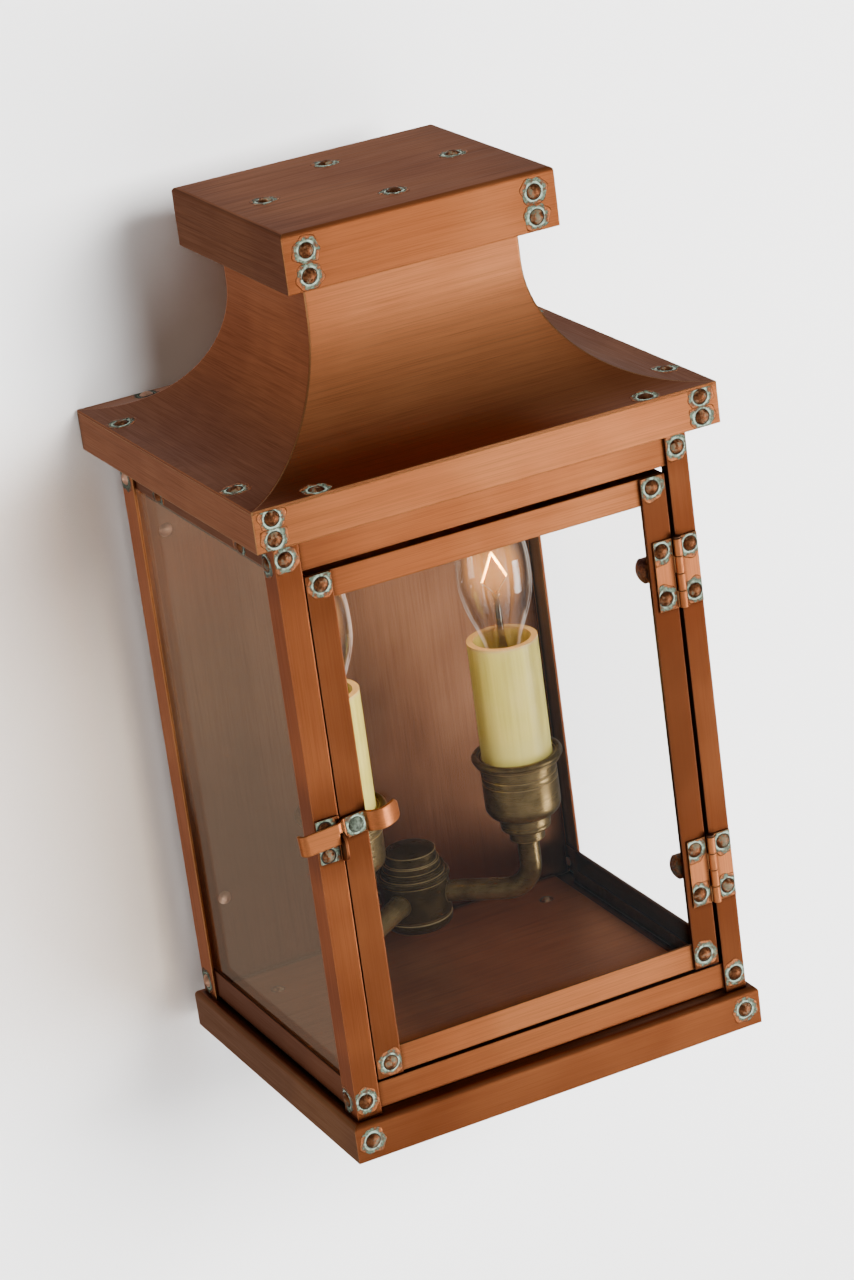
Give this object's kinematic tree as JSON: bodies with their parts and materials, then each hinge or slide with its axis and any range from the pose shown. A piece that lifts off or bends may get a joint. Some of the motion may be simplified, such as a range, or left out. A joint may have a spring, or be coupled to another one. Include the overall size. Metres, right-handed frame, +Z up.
{
  "type": "wall lantern",
  "caption": "Wall lantern: riveted copper case with a flared roof, hinged glazed door with turn latch, side panes and a brass candle cluster with clear bulbs.",
  "frame": {"origin": "centre of the mounting bar's rear face, on the wall, midway between the two outlet box screws", "axes": "+Z up, -Y out of the wall towards the viewer, X across the lantern with +X on its hinge side"},
  "size_m": [0.22, 0.192, 0.4075],
  "materials": {
    "copper": "brushed antique copper sheet, lacquered, satin",
    "dark_copper": "darkened copper sheet, satin",
    "rivet_copper": "oxidised copper",
    "bright_copper": "polished copper",
    "clear_glass": "clear float glass",
    "steel": "zinc plated",
    "green_screw": "green painted",
    "antique_brass": "antique brass, dark satin",
    "socket_plastic": "dark phenolic",
    "ivory_sleeve": "ivory, satin",
    "lamp_base": "plain brass",
    "filament": "lit filament",
    "bulb_glass": "clear blown glass"
  },
  "bodies": {
    "lantern": {"base_tray": "copper", "floor_panel": "dark_copper", "post_front_left": "copper", "post_front_right": "copper", "post_rear_left": "copper", "post_rear_right": "copper", "header_rail": "copper", "sill_rail": "copper", "side_rail_top_left": "copper", "side_rail_top_right": "copper", "side_rail_low_left": "copper", "side_rail_low_right": "copper", "back_panel": "dark_copper", "side_glass_left": "clear_glass", "side_glass_right": "clear_glass", "glass_channels": "dark_copper", "roof_skirt": "copper", "roof_front": "copper", "roof_right": "copper", "roof_rear": "copper", "roof_left": "copper", "roof_cap": "copper", "wall_pan": "dark_copper", "mounting_bar": "steel", "hang_screws": "steel", "ground_screw": "green_screw", "body_rivets": "rivet_copper", "roof_rivets": "rivet_copper", "hinge_leaves_post": "copper", "hinge_pins": "dark_copper", "latch_keeper": "copper", "cluster_body": "antique_brass", "cluster_cap": "antique_brass", "cluster_nipple": "antique_brass", "cluster_nuts": "antique_brass", "arm_left": "antique_brass", "arm_right": "antique_brass", "cup_left": "antique_brass", "cup_right": "antique_brass", "socket_left": "socket_plastic", "socket_right": "socket_plastic", "sleeve_left": "ivory_sleeve", "sleeve_right": "ivory_sleeve"},
    "door": {"door_stile_left": "copper", "door_stile_right": "copper", "door_rail_top": "copper", "door_rail_low": "copper", "door_glass": "clear_glass", "glass_studs": "dark_copper", "door_rivets": "rivet_copper", "hinge_leaves_door": "copper", "latch_rivet": "dark_copper"},
    "latch": {"latch_lever": "bright_copper"},
    "bulb_left": {"bulb_base_left": "lamp_base", "bulb_stem_left": "filament", "bulb_glass_left": "bulb_glass"},
    "bulb_right": {"bulb_base_right": "lamp_base", "bulb_stem_right": "filament", "bulb_glass_right": "bulb_glass"}
  },
  "joints": [
    {"name": "door_hinge", "type": "hinge", "parent": "lantern", "child": "door", "pos_m": [0.0879, -0.1809, 0], "axis": [0, 0, 1], "range_deg": [0, 110]},
    {"name": "latch_turn", "type": "hinge", "parent": "door", "child": "latch", "pos_m": [-0.08, -0.18, -0.0448], "axis": [0, 1, 0], "range_deg": [0, 75]},
    {"name": "bulb_left_lift", "type": "slide", "parent": "lantern", "child": "bulb_left", "axis": [0, 0, 1], "range_m": [0, 0.03]},
    {"name": "bulb_right_lift", "type": "slide", "parent": "lantern", "child": "bulb_right", "axis": [0, 0, 1], "range_m": [0, 0.03]}
  ]
}
